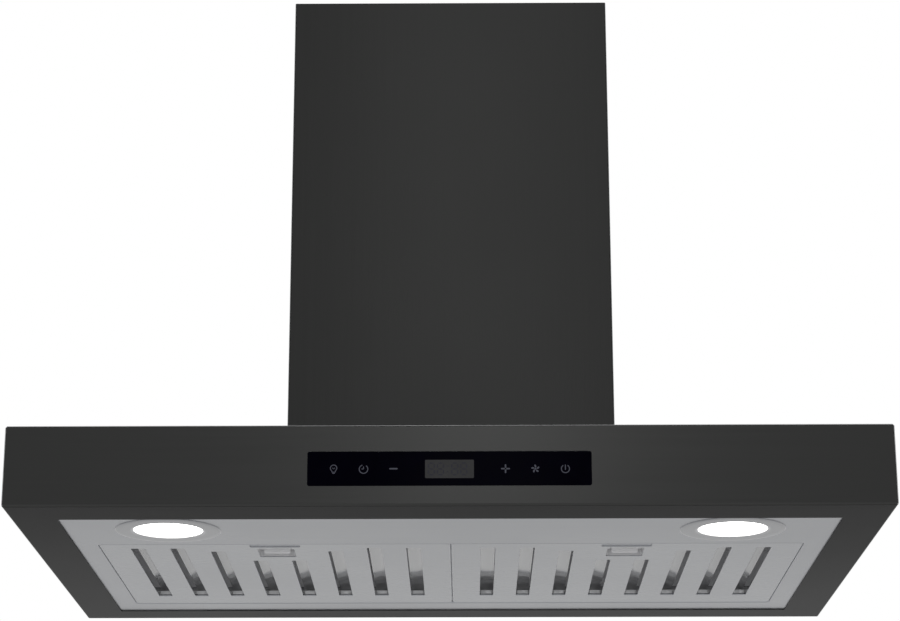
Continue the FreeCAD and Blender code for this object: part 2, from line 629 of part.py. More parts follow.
def lamp(sx):
    cx, cy = sx * LAMP_X, LAMP_Y
    z = UNDER_Z
    R, r = LAMP_BEZEL_R, LAMP_LENS_R
    bezel = revolve([(R, z), (R, z - 0.3), (R - 0.5, z - 0.55), (R - 2.0, z - 0.72), (R - 4.5, z - 0.85), (r + 4.0, z - 0.92), (r + 1.6, z - 0.9), (r + 0.7, z - 0.65),
                     (r + 0.15, z - 0.1), (r, z + 0.5), (r, z + 2.0), (33.4, z + 2.0), (33.4, z + 9.0), (36.2, z + 9.0), (36.2, z)], cx, cy)
    lens = revolve([(0, z + 2.0), (33.2, z + 2.0), (33.2, z + 3.8), (0, z + 3.8)], cx, cy)
    board = cyl(33.2, (cx, cy, z + 7.4), (0, 0, 1), 1.6)
    leds = []
    for n, rr in ((1, 0.0), (6, 12.0), (12, 24.0)):
        for k in range(n):
            a = 2 * math.pi * k / n
            px, py = cx + rr * math.cos(a), cy + rr * math.sin(a)
            leds.append(box(px - 1.4, px + 1.4, py - 1.4, py + 1.4, z + 6.6, z + 7.5))
    board = fuse([board] + leds)
    can = cyl(36.2, (cx, cy, z + 9.0), (0, 0, 1), 15.0)
    can = rounded(can, 2.5, lambda e: e.Curve.TypeId == "Part::GeomCircle" and abs(e.Vertexes[0].Point.z - (z + 24)) < 1e-3)
    can = can.cut(cyl(30.5, (cx, cy, z + 8), (0, 0, 1), 12.0))
    fins = [cyl(33.5, (cx, cy, z + 23.5), (0, 0, 1), 4.5).common(box(cx + o - 0.8, cx + o + 0.8, cy - 40, cy + 40, 0, 100)) for o in range(-28, 29, 8)]
    can = fuse([can] + fins)
    can = can.cut(cyl(3.0, (cx, cy + 4.0, z + 18), (0, 0, 1), 20))
    return bezel, lens, board, can


for sx, side in ((-1, "left"), (1, "right")):
    bezel, lens, board, can = lamp(sx)
    put("light_%s_bezel" % side, bezel)
    put("light_%s_lens" % side, lens)
    put("light_%s_led_board" % side, board)
    put("light_%s_housing" % side, can)

clips = []
for sx in (-1, 1):
    for s2 in (-1, 1):
        # a leaf from the can's side down to the panel's top
        z = UNDER_Z + PANEL_T
        pts = [(36.2, 17.5), (36.8, 17.5), (39.4, 16.5), (50.0, z + 0.7), (54.5, z + 0.1), (54.5, z + 0.75), (50.2, z + 1.5), (39.8, 17.5), (37.0, 18.5), (36.8, 23.5), (36.2, 23.5)]
        leaf = prism(pts, "xz", LAMP_Y - 5.0, 10.0)
        if s2 < 0:
            leaf = mirror_x(leaf)
        leaf.translate(V(sx * LAMP_X, 0, 0))
        clips.append(leaf)
put("light_spring_clips", Part.makeCompound(clips))

# ------------------------------------------------------------- touch control
glass = rbox(-GLASS_X, GLASS_X, -D + GLASS_IN, -D + 3.0, GLASS_Z0, GLASS_Z1, 1.9, "y")
put("control_glass", glass)

carrier = rbox(-127, 127, -D + T, -D + 5.0, 12.0, 52.0, 3.0, "y")
carrier = carrier.cut(rbox(-GLASS_X - 0.1, GLASS_X + 0.1, -D, -D + 3.0, GLASS_Z0 - 0.1, GLASS_Z1 + 0.1, 1.9, "y"))
carrier = cut(carrier, [cyl(5.4, (x, -D, ICON_Z), (0, 1, 0), 10) for x in ICON_X] + [box(-21.4, 21.4, -D, -D + 10, 23.0, 40.2)])
posts = [cyl(3.2, (x, -D + 4.9, z), (0, 1, 0), 6.1) for x in (-110.0, 110.0) for z in (22.0, 42.0)]
carrier = fuse([carrier] + posts)
carrier = cut(carrier, [cyl(1.2, (x, -D + 7.0, z), (0, 1, 0), 6) for x in (-110.0, 110.0) for z in (22.0, 42.0)])
put("control_carrier", carrier)

pcb_y = -D + 11.0
pcb = box(-116, 116, pcb_y, pcb_y + 1.6, 17.0, 47.0)
chips = [box(-60, -48, pcb_y + 1.5, pcb_y + 3.2, 26, 38), box(30, 37, pcb_y + 1.5, pcb_y + 3.6, 22, 40), box(-100, -86, pcb_y + 1.5, pcb_y + 7.5, 27, 37),
         box(60, 66, pcb_y + 1.5, pcb_y + 2.8, 28, 34), box(76, 82, pcb_y + 1.5, pcb_y + 2.8, 28, 34)]
pcb = fuse([pcb] + chips)
pcb = cut(pcb, [cyl(1.6, (x, pcb_y - 1, z), (0, 1, 0), 4) for x in (-110.0, 110.0) for z in (22.0, 42.0)])
put("control_board", pcb)
put("control_screws", Part.makeCompound([pan_screw((x, pcb_y + 1.6, z), (0, -1, 0), 1.15, 5.4, 2.6, 1.8) for x in (-110.0, 110.0) for z in (22.0, 42.0)]))
put("display_module", rbox(-21.0, 21.0, -D + 3.0, pcb_y, 23.4, 39.8, 0.8, "y"))
put("touch_pads", Part.makeCompound([cyl(4.4, (x, -D + 3.0, ICON_Z), (0, 1, 0), pcb_y + D - 3.0) for x in ICON_X]))

# --------------------------------------------------------------- electronics
EX0, EX1, EY0, EY1, EZ0, EZ1 = -132.0, 60.0, -68.0, -6.0, BOX_TOP, BOX_TOP + 44.0
GLAND_X, GLAND_Y, GLAND_R = -116.0, -37.0, 4.5
tray = rbox(EX0, EX1, EY0, EY1, EZ0, EZ1 - 2.0, 3.0)
tray = tray.cut(rbox(EX0 + 2, EX1 - 2, EY0 + 2, EY1 - 2, EZ0 + 2, EZ1 + 5, 1.4))
bosses = [cyl(3.2, (x, y, EZ0 + 1.5), (0, 0, 1), 5.5) for x in (EX0 + 10, EX1 - 10) for y in (EY0 + 10, EY1 - 10)]
tray = fuse([tray] + bosses)
LEAD_IN = [(-115.0, 306.0), (-93.0, 306.0), (50.0, 306.0)]
tray = cut(tray, [cyl(2.6, (x, EY0 - 1, z), (0, 1, 0), 5) for x, z in LEAD_IN] + [cyl(2.6, (EX1 - 4, -56.0, 316.0), (1, 0, 0), 8)])
put("electronics_box", tray)
lid = rbox(EX0, EX1, EY0, EY1, EZ1 - 2.0, EZ1, 3.0)
lid = lid.fuse(rbox(EX0 + 2.2, EX1 - 2.2, EY0 + 2.2, EY1 - 2.2, EZ1 - 5.0, EZ1 - 1.9, 1.2).cut(rbox(EX0 + 4, EX1 - 4, EY0 + 4, EY1 - 4, EZ1 - 6.0, EZ1 - 2.0, 1.0)))
put("electronics_cover", lid.cut(cyl(8.0, (GLAND_X, GLAND_Y, EZ1 - 4), (0, 0, 1), 8)).removeSplitter())
mz = EZ0 + 7.0
mb = box(EX0 + 5, EX1 - 5, EY0 + 5, EY1 - 5, mz, mz + 1.6)
comps = [box(x, x + 18, -50, -32, mz + 1.5, mz + 17) for x in (-48, -24, 0)]
comps += [box(-20, -8, -28, -16, mz + 1.5, mz + 4), box(38, 48, -46, -24, mz + 1.5, mz + 9),
          cyl(5.0, (22, -22, mz + 1.5), (0, 0, 1), 14), cyl(4.0, (-52, -20, mz + 1.5), (0, 0, 1), 12)]
comps += [box(x - 6, x + 6, -62.4, -56, mz + 1.5, mz + 10) for x, _ in LEAD_IN]
# the transformer, with its core round the winding
comps += [box(-84, -60, -56, -30, mz + 1.5, mz + 24), box(-81, -63, -59, -27, mz + 4, mz + 21)]
term = box(-122, -104, -30, -12, mz + 1.5, mz + 16)
term = cut(term, [cyl(2.2, (-117.5 + 4.5 * k, -34, mz + 6.5), (0, 1, 0), 10) for k in range(3)] + [cyl(1.8, (-117.5 + 4.5 * k, -18, mz + 9), (0, 0, 1), 12) for k in range(3)])
put("main_board", fuse([mb, term] + comps))

cap = cyl(17.0, (CAP_X, CAP_Y, BOX_TOP), (0, 0, 1), 58.0)
cap = rounded(cap, 2.0, lambda e: e.Curve.TypeId == "Part::GeomCircle" and e.Vertexes[0].Point.z > BOX_TOP + 1)
cap = fuse([cap, cyl(CAP_STUD, (CAP_X, CAP_Y, BOX_TOP - 9.0), (0, 0, 1), 9.5)]
           + [box(x, x + 0.8, CAP_Y - 3, CAP_Y + 3, BOX_TOP + 57, BOX_TOP + 66) for x in (CAP_X - 5, CAP_X + 4.2)])
put("motor_capacitor", cap)

# the gland for the supply cable: a nipple through the cover, its hexagon above and its nut below
gl = cyl(7.8, (GLAND_X, GLAND_Y, EZ1 - 8.0), (0, 0, 1), 20.0)
gl = fuse([gl, hexagon(20.0, (GLAND_X, GLAND_Y, EZ1), (0, 0, 1), 5.0), hexagon(18.0, (GLAND_X, GLAND_Y, EZ1 - 5.0), (0, 0, 1), 3.0)])
gl = gl.cut(cyl(GLAND_R, (GLAND_X, GLAND_Y, EZ1 - 20), (0, 0, 1), 60))
put("cable_gland", gl)

# ------------------------------------------------------------------- filters


def slot_xs():
    xc = (FIL_GAP + FIL_X1) / 2
    return [xc + (k - (SLOT_N - 1) / 2.0) * SLOT_PITCH for k in range(SLOT_N)]


def slot_front(k):
    return {2: SLOT_F_NEAR, 5: SLOT_F_NEAR, 3: SLOT_F_MID, 4: SLOT_F_MID}.get(k, SLOT_F)


XC = (FIL_GAP + FIL_X1) / 2


def filter_pan():
    o = rbox(FIL_GAP, FIL_X1, FIL_F, FIL_R, FIL_Z0, FIL_Z1, FIL_CORNER)
    o = rounded(o, FIL_BEND, lambda e: at(e, z=FIL_Z0))
    i = rbox(FIL_GAP + FIL_T, FIL_X1 - FIL_T, FIL_F + FIL_T, FIL_R - FIL_T, FIL_Z0 + FIL_T, FIL_Z1 + 1, FIL_CORNER - FIL_T)
    i = rounded(i, FIL_BEND - FIL_T, lambda e: at(e, z=FIL_Z0 + FIL_T))
    s = o.cut(i)
    adds, tools = [], []
    for k, x in enumerate(slot_xs()):
        y0 = slot_front(k)
        t = 0.7
        # a low turned-up edge all round and a taller one across the rear end
        adds.append(rbox(x - SLOT_W / 2 - t, x + SLOT_W / 2 + t, y0 - t, SLOT_R + t, FIL_Z0 + 0.2, FIL_Z0 + SLOT_RIM, 1.5 + t))
        adds.append(box(x - SLOT_W / 2 + 1.5, x + SLOT_W / 2 - 1.5, SLOT_R, SLOT_R + t, FIL_Z0 + 0.2, FIL_Z0 + SLOT_TAB))
        tools.append(rbox(x - SLOT_W / 2, x + SLOT_W / 2, y0, SLOT_R, FIL_Z0 - 1, FIL_Z0 + 8, 1.5))
    # rear tabs that lie over the opening's turned-up edge
    for x in (XC - 95.0, XC + 95.0):
        adds.append(box(x - 12, x + 12, FIL_R - 0.4, FIL_R + 7.0, OPEN_LIP + 0.4, OPEN_LIP + 1.4))
    tools.append(rbox(XC - CUP_W / 2, XC + CUP_W / 2, CUP_F, CUP_R, FIL_Z0 - 1, FIL_Z0 + 3, 3.0))
    w = REBATE_W / 2
    adds.append(rbox(XC - w - FIL_T, XC + w + FIL_T, REBATE_F - FIL_T, REBATE_R + FIL_T, FIL_Z0 + 0.4, FIL_Z0 + REBATE_Z + FIL_T, 2.0 + FIL_T))
    tools.append(rbox(XC - w, XC + w, REBATE_F, REBATE_R, FIL_Z0 - 1, FIL_Z0 + REBATE_Z, 2.0))
    tools.append(box(XC - TONGUE_W / 2 - 0.4, XC + TONGUE_W / 2 + 0.4, FIL_F - 2, FIL_F + 3, SLIDE_Z0 - 0.3, SLIDE_Z1 + 0.3))
    s = cut(fuse([s] + adds), tools)
    in_slot = lambda v: any(abs(v.x - x) < SLOT_W / 2 + 0.01 for x in slot_xs()) and FIL_F + 20 < v.y < FIL_R - 20
    cup = lambda v: abs(v.x - XC) < CUP_W / 2 + 1 and v.y < CUP_R + 1
    return rounded(s, SLOT_ROLL, lambda e: at(e, z=FIL_Z0) and all(in_slot(v.Point) and not cup(v.Point) for v in e.Vertexes))


def filter_baffles():
    """The inner layer: an arched strip over every slot, hollow side down, between two end strips."""
    z0, z1 = WEB_Z, WEB_Z + 0.8
    x0, x1 = FIL_GAP + FIL_T, FIL_X1 - FIL_T
    y0, y1 = FIL_F + FIL_T, FIL_R - FIL_T
    rim = rbox(x0, x1, y0, y1, z0, z1, FIL_CORNER - FIL_T).cut(box(x0 + 9, x1 - 9, y0 + 14, y1 - 14, z0 - 1, z1 + 1))
    parts = [rim]
    zc, d = WEB_Z - WEB_R, (0, 1, 0)
    over_cup = box(XC - CUP_W / 2 - 2, XC + CUP_W / 2 + 2, CUP_F - 2, CUP_R + 2, FIL_Z0 + 4, CUP_Z1 + 0.2)
    for k, x in enumerate(slot_xs()):
        arch = ring(WEB_R + 0.8, WEB_R, (x, y0 + 5, zc), d, y1 - y0 - 10)
        arch = arch.common(box(x - WEB_W / 2, x + WEB_W / 2, y0, y1, z0 - 5, z1 + 1))
        parts.append(arch.cut(over_cup) if k in (3, 4) else arch)
    return fuse(parts)


def latch_cup():
    t = 0.8
    z0, z1 = FIL_Z0 + FIL_T, CUP_Z1
    x0, x1 = XC - CUP_W / 2 - t, XC + CUP_W / 2 + t
    y0, y1 = CUP_F - t, CUP_R + t
    o = rbox(x0, x1, y0, y1, z0, z1, 3.8)
    i = rbox(XC - CUP_W / 2, XC + CUP_W / 2, CUP_F, CUP_R, z0 - 1, z1 - t, 3.0)
    s = o.cut(i)
    # guide rails for the slider, and the slot it leaves by
    rails = [box(XC - CUP_W / 2 - 0.4, XC - TAB_W / 2 - 0.6, CUP_F + 3, CUP_R - 3, SLIDE_Z0 - 1.2, SLIDE_Z0 - 0.2),
             box(XC + TAB_W / 2 + 0.6, XC + CUP_W / 2 + 0.4, CUP_F + 3, CUP_R - 3, SLIDE_Z0 - 1.2, SLIDE_Z0 - 0.2)]
    s = fuse([s] + rails)
    return cut(s, [box(XC - TONGUE_W / 2 - 0.4, XC + TONGUE_W / 2 + 0.4, CUP_F - 2, CUP_F + 1, SLIDE_Z0 - 0.3, SLIDE_Z1 + 0.3)])




SPRING_Y = -325.2  # front end of the latch's spring
LUG_Y = SPRING_Y + 16.8 + 0.4  # front face of the lug it bears on


def latch_slider():
    tongue, rear = FIL_F - 5.0, CUP_R - LATCH_TRAVEL - 1.0
    plate = box(XC - TONGUE_W / 2, XC + TONGUE_W / 2, tongue, rear, SLIDE_Z0, SLIDE_Z1)
    nose = prism([(tongue, SLIDE_Z1), (tongue + 3.0, SLIDE_Z0 + 4), (tongue - 1, SLIDE_Z0 + 4)], "yz", XC - 20, 40)
    plate = plate.cut(nose)
    foot = FIL_Z0 + 0.6
    tab = box(XC - TAB_W / 2, XC + TAB_W / 2, TAB_Y, TAB_Y + 1.5, foot, SLIDE_Z1)
    tab = rounded(tab, 1.6, lambda e: along(e, "y") and at(e, z=foot))
    wing = box(XC - CUP_W / 2 + 0.9, XC + CUP_W / 2 - 0.9, CUP_F + 4.0, rear, SLIDE_Z0, SLIDE_Z1)
    window = box(XC - 4.2, XC + 4.2, SPRING_Y - 0.6, LUG_Y + 1.2, SLIDE_Z0 - 1, SLIDE_Z1 + 1)
    return fuse([plate, wing, tab]).cut(window)


def latch_spring():
    # lies in the slider's window, between its front edge and a lug of the cup
    return coil(2.0, 0.35, 2.4, 7.0, (XC, SPRING_Y, (SLIDE_Z0 + SLIDE_Z1) / 2), (0, 1, 0))


pan, baffles, cup, slider, spring = filter_pan(), filter_baffles(), latch_cup(), latch_slider(), latch_spring()
# the spring's rear seat is a lug hung from the cup's roof, inside the slider's window
lug = box(XC - 3.0, XC + 3.0, LUG_Y, LUG_Y + 1.0, SLIDE_Z0 - 2.0, CUP_Z1 - 0.4)
cup = fuse([cup, lug])
for side in ("right", "left"):
    f = (lambda s: s) if side == "right" else mirror_x
    put("filter_%s_pan" % side, f(pan))
    put("filter_%s_baffles" % side, f(baffles))
    put("filter_%s_latch_cup" % side, f(cup))
    put("filter_%s_latch" % side, f(slider))
    put("filter_%s_latch_spring" % side, f(spring))

# --------------------------------------------------------------------- leads
# Each runs to the top of the blower box and on into the electronics box.
R_LEAD, Z_RUN, Z_IN = 1.9, 52.0, 306.0
ll = tube([(-LAMP_X, LAMP_Y + 4.0, UNDER_Z + 20.2), (-LAMP_X, LAMP_Y + 4.0, Z_RUN), (-115, -240, Z_RUN), (-115, -240, Z_IN), (-115, -62.4, Z_IN)], R_LEAD, 24.0)
lr = tube([(LAMP_X, LAMP_Y + 4.0, UNDER_Z + 20.2), (LAMP_X, LAMP_Y + 4.0, Z_RUN), (115, -240, Z_RUN), (115, -240, Z_IN), (115, -90, Z_IN), (50, -90, Z_IN), (50, -62.4, Z_IN)], R_LEAD, 24.0)
put("light_leads", Part.makeCompound([ll, lr]))
put("control_lead", tube([(-93, pcb_y + 7.5, 32), (-93, -430, 32), (-93, -385, 58), (-93, -240, 58), (-93, -240, Z_IN), (-93, -62.4, Z_IN)], R_LEAD, 24.0))
put("motor_lead", tube([(72, WHEEL_Y, WHEEL_Z + 46.0), (72, WHEEL_Y, 262), (104, WHEEL_Y, 262), (104, WHEEL_Y, 316), (104, -56, 316), (57, -56, 316)], R_LEAD, 20.0))
print("nodes", len(made))
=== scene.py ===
import bpy
import bmesh
import math
from mathutils import Matrix, Vector


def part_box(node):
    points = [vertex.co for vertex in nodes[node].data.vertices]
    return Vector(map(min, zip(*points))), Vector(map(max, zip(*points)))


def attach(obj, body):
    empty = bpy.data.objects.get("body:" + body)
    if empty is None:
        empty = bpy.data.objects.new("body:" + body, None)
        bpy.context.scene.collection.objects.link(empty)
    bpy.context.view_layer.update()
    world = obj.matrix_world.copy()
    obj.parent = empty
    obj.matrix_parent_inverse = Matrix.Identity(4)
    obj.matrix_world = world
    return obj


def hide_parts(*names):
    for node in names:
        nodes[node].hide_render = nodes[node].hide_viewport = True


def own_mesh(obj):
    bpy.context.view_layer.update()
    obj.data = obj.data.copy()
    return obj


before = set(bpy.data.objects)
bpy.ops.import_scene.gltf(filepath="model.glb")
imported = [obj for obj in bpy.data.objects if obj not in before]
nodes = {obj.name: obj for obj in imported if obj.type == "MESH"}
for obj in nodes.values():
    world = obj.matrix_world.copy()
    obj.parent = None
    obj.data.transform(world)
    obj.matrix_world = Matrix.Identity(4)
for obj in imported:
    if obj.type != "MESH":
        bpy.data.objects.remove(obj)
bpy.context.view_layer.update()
Z_HANG = 0.262  # the canopy's underside is this far below the row's origin
scene = bpy.context.scene
scene.view_settings.view_transform = "Standard"
scene.view_settings.look = "None"


# ------------------------------------------------------------------ materials
class Mat:
    """A node material on one Principled shader, with short calls for textures in object space."""

    def __init__(self, name, color, metallic=0.0, rough=0.5, **sockets):
        self.m = bpy.data.materials.new(name)
        self.m.use_nodes = True
        self.t = self.m.node_tree
        self.n = self.t.nodes
        self.b = self.n["Principled BSDF"]
        self.color = tuple(color)
        self.set("Base Color", (*color, 1.0))
        self.set("Metallic", metallic)
        self.set("Roughness", rough)
        for k, v in sockets.items():
            self.set(k.replace("_", " "), v)
        self.co = self.n.new("ShaderNodeTexCoord").outputs["Object"]
        self.height = None

    def set(self, name, value):
        self.b.inputs[name].default_value = value

    def link(self, a, b):
        self.t.links.new(a, b)

    def scaled(self, scale, rot=(0, 0, 0), loc=(0, 0, 0)):
        mp = self.n.new("ShaderNodeMapping")
        mp.inputs["Scale"].default_value = scale
        mp.inputs["Rotation"].default_value = rot
        mp.inputs["Location"].default_value = loc
        self.link(self.co, mp.inputs["Vector"])
        return mp.outputs["Vector"]

    def noise(self, scale, detail=4.0, rough=0.6, vector=None):
        t = self.n.new("ShaderNodeTexNoise")
        t.inputs["Scale"].default_value = 1.0
        t.inputs["Detail"].default_value = detail
        t.inputs["Roughness"].default_value = rough
        self.link(vector if vector is not None else self.scaled(scale), t.inputs["Vector"])
        return t.outputs["Fac"]

    def voronoi(self, scale, feature="F1", out="Color", randomness=1.0):
        t = self.n.new("ShaderNodeTexVoronoi")
        t.feature = feature
        t.inputs["Scale"].default_value = 1.0
        t.inputs["Randomness"].default_value = randomness
        self.link(self.scaled(scale), t.inputs["Vector"])
        return t.outputs[out]

    def wave(self, scale, direction="X", distortion=0.0):
        t = self.n.new("ShaderNodeTexWave")
        t.bands_direction = direction
        t.inputs["Scale"].default_value = 1.0
        t.inputs["Distortion"].default_value = distortion
        self.link(self.scaled(scale), t.inputs["Vector"])
        return t.outputs["Fac"]

    def remap(self, fac, lo, hi, a=0.0, b=1.0, smooth=False):
        r = self.n.new("ShaderNodeMapRange")
        if smooth:
            r.interpolation_type = "SMOOTHSTEP"
        r.inputs["From Min"].default_value = a
        r.inputs["From Max"].default_value = b
        r.inputs["To Min"].default_value = lo
        r.inputs["To Max"].default_value = hi
        self.link(fac, r.inputs["Value"])
        return r.outputs["Result"]

    def maths(self, op, a, b):
        m = self.n.new("ShaderNodeMath")
        m.operation = op
        for k, v in enumerate((a, b)):
            if isinstance(v, (int, float)):
                m.inputs[k].default_value = v
            else:
                self.link(v, m.inputs[k])
        return m.outputs["Value"]

    def mix(self, fac, c0, c1):
        x = self.n.new("ShaderNodeMix")
        x.data_type = "RGBA"
        self.link(fac, x.inputs["Factor"])
        for socket, c in ((x.inputs[6], c0), (x.inputs[7], c1)):
            if isinstance(c, (tuple, list)):
                socket.default_value = (*c, 1.0)
            else:
                self.link(c, socket)
        return x.outputs[2]

    def tone(self, fac, low, high, a=0.0, b=1.0):
        """Base colour between low and high times the plain colour."""
        f = self.remap(fac, 0.0, 1.0, a, b)
        c = self.mix(f, tuple(v * low for v in self.color), tuple(v * high for v in self.color))
        self.link(c, self.b.inputs["Base Color"])
        self.toned = c
        return c

    def inside(self, half_x, front_y, z0=None, z1=None):
        """1 within a folded sheet's inner faces, 0 on its outer ones, from the place in the row's frame."""
        sep = self.n.new("ShaderNodeSeparateXYZ")
        self.link(self.co, sep.inputs["Vector"])
        x, y, z = (sep.outputs[k] for k in range(3))
        f = self.maths("LESS_THAN", self.maths("ABSOLUTE", x, 0.0), half_x)
        f = self.maths("MULTIPLY", f, self.maths("GREATER_THAN", y, front_y))
        if z0 is not None:
            f = self.maths("MULTIPLY", f, self.maths("GREATER_THAN", z, z0))
            f = self.maths("MULTIPLY", f, self.maths("LESS_THAN", z, z1))
        return f

    def upper(self, z=None, least=0.3):
        """1 on faces that look up, the side of an underside sheet that isn't seen from below, and on all faces above z."""
        sep = self.n.new("ShaderNodeSeparateXYZ")
        self.link(self.n.new("ShaderNodeTexCoord").outputs["Normal"], sep.inputs["Vector"])
        f = self.maths("GREATER_THAN", sep.outputs[2], least)
        if z is not None:
            place = self.n.new("ShaderNodeSeparateXYZ")
            self.link(self.co, place.inputs["Vector"])
            f = self.maths("MAXIMUM", f, self.maths("GREATER_THAN", place.outputs[2], z))
        return f

    def painted_bend_highlight(self, gain):
        """Painted highlight: a lighter colour on faces that aren't level, as on the rolled edges of an underside
        sheet.
        """
        sep = self.n.new("ShaderNodeSeparateXYZ")
        self.link(self.n.new("ShaderNodeTexCoord").outputs["Normal"], sep.inputs["Vector"])
        f = self.remap(self.maths("ABSOLUTE", sep.outputs[2], 0.0), 1.0, 0.0, 0.45, 0.97, smooth=True)
        self.toned = self.mix(f, self.toned, tuple(v * gain for v in self.color))
        self.link(self.toned, self.b.inputs["Base Color"])

    def painted_fold_highlight(self, gain):
        """Painted highlight: a lighter colour where a lower edge turns under and its outward side looks half down."""
        sep = self.n.new("ShaderNodeSeparateXYZ")
        self.link(self.n.new("ShaderNodeTexCoord").outputs["Normal"], sep.inputs["Vector"])
        down = self.maths("MULTIPLY", sep.outputs[2], -1.0)
        f = self.maths("MULTIPLY", self.remap(down, 0.0, 1.0, 0.02, 0.25, smooth=True), self.remap(down, 1.0, 0.0, 0.90, 0.995, smooth=True))
        self.toned = self.mix(f, self.toned, tuple(v * gain for v in self.color))
        self.link(self.toned, self.b.inputs["Base Color"])

    def within(self, z0, z1):
        """1 between two heights of the row's frame."""
        sep = self.n.new("ShaderNodeSeparateXYZ")
        self.link(self.co, sep.inputs["Vector"])
        return self.maths("MULTIPLY", self.maths("GREATER_THAN", sep.outputs[2], z0), self.maths("LESS_THAN", sep.outputs[2], z1))

    def edge_glow(self, fac, strength):
        """More painted light (emission) where fac is 1, standing in for bounced light, on top of what glow() gave."""
        src = self.b.inputs["Emission Strength"].links[0].from_socket
        self.link(self.maths("ADD", src, self.maths("MULTIPLY", fac, strength)), self.b.inputs["Emission Strength"])

    def glow(self, fac, strength, mottle=0.0):
        """Painted light (emission) where fac is 1, standing in for light that has bounced about inside, on the hidden
        faces.
        """
        f = self.maths("MULTIPLY", fac, strength)
        if mottle:
            nz = self.noise((260.0, 70.0, 260.0), 3.0, 0.6)
            f = self.maths("MULTIPLY", f, self.remap(nz, 1.0 - mottle, 1.0 + mottle, 0.35, 0.65))
        self.set("Emission Color", (1.0, 1.0, 1.02, 1.0))
        self.link(f, self.b.inputs["Emission Strength"])

    def bare_metal_and_painted_light(self, fac, color, metallic, rough, glow=0.0, mottle=0.0):
        """Another colour where fac is 1, in place of the finish so far: unpainted metal on hidden sides, which on the
        canopy and filters is also made lighter as painted light, and painted lamp light round a lens; glow adds
        painted bounced light (emission) there.
        """
        if glow:
            self.glow(fac, glow, mottle)
        self.link(self.mix(fac, self.toned, color), self.b.inputs["Base Color"])
        for name, value in (("Metallic", metallic), ("Roughness", rough)):
            was = self.b.inputs[name]
            src = was.links[0].from_socket if was.is_linked else None
            m = self.n.new("ShaderNodeMix")
            self.link(fac, m.inputs["Factor"])
            if src is not None:
                self.link(src, m.inputs[2])
            else:
                m.inputs[2].default_value = was.default_value
            m.inputs[3].default_value = value
            self.link(m.outputs[0], was)

    def rough(self, fac, lo, hi, a=0.0, b=1.0):
        self.link(self.remap(fac, lo, hi, a, b), self.b.inputs["Roughness"])

    def bump(self, height, strength, distance):
        b = self.n.new("ShaderNodeBump")
        b.inputs["Strength"].default_value = strength
        b.inputs["Distance"].default_value = distance
        self.link(height, b.inputs["Height"])
        if self.height is not None:
            self.link(self.height, b.inputs["Normal"])
        self.height = b.outputs["Normal"]
        self.link(self.height, self.b.inputs["Normal"])


def brushed(name, color, rough, along, grain=1.0, metallic=1.0, bump=0.12, soft=0.06, vary=(0.93, 1.07), **sockets):
    """Brushed sheet. along is the axis the brushing runs."""
    m = Mat(name, color, metallic, rough, **sockets)
    k = "XYZ".index(along)
    fine = [2600.0 * grain] * 3
    fine[k] = 14.0
    wide = [420.0 * grain] * 3
    wide[k] = 3.0
    lines = m.noise(fine, 3.0, 0.7)
    bands = m.noise(wide, 4.0, 0.6)
    cloud = m.noise((5.0, 5.0, 5.0), 3.0, 0.5)
    both = m.maths("MULTIPLY_ADD", lines, 0.6)
    both.node.inputs[2].default_value = 0.0
    m.link(m.maths("MULTIPLY", bands, 0.4), both.node.inputs[2])
    m.tone(both, vary[0], vary[1], 0.3, 0.7)
    m.rough(m.maths("ADD", m.maths("MULTIPLY", both, 0.6), m.maths("MULTIPLY", cloud, 0.4)), rough - soft, rough + soft, 0.3, 0.7)
    m.bump(lines, bump, 0.00003)
    m.bump(bands, bump * 0.5, 0.00006)
    return m


M = {}
BLACK = (0.0300, 0.0303, 0.0298)
# the chimneys' black: the canopy's black made darker, as painted shade
BLACK_V_PAINTED_SHADE = (0.0200, 0.0202, 0.0199)
CANOPY_INSIDE_BARE_PAINTED_LIGHT = (0.78, 0.78, 0.79)  # inside of the canopy: unpainted metal, made lighter as painted light that has bounced about inside
# back sides of the panel and filter sheets: unpainted stainless, made lighter as painted light that has bounced about
# inside
FILTER_BACK_BARE_PAINTED_LIGHT = (0.58, 0.585, 0.595)
BARE_CHIMNEY = (0.42, 0.43, 0.44)
DULL_EDGE = (0.39, 0.39, 0.39, 1.0)  # a coated sheet that doesn't brighten at a shallow angle
m = brushed("black_steel_canopy", BLACK, 0.24, "X", bump=0.06, soft=0.03, Specular_Tint=DULL_EDGE)
# painted highlight on the canopy's lower edges where they turn under, to lighten the shade line there
m.painted_fold_highlight(1.45)
# inside of the canopy: unpainted metal made lighter as painted light, with painted bounced light (emission 0.011)
m.bare_metal_and_painted_light(m.inside(0.3745, -0.4995, 0.00095 - Z_HANG, 0.0695 - Z_HANG), CANOPY_INSIDE_BARE_PAINTED_LIGHT, 0.3, 0.55, 0.011)
M["black_h"] = m.m
m = brushed("black_steel_back", BLACK, 0.24, "X", bump=0.06, soft=0.03, Specular_Tint=DULL_EDGE)
sep = m.n.new("ShaderNodeSeparateXYZ")
m.link(m.co, sep.inputs["Vector"])
inner = m.maths("MULTIPLY", m.maths("LESS_THAN", sep.outputs[1], -0.0005), m.within(0.00095 - Z_HANG, 0.0695 - Z_HANG))
inner = m.maths("MULTIPLY", inner, m.maths("LESS_THAN", m.maths("ABSOLUTE", sep.outputs[0], 0.0), 0.3739))
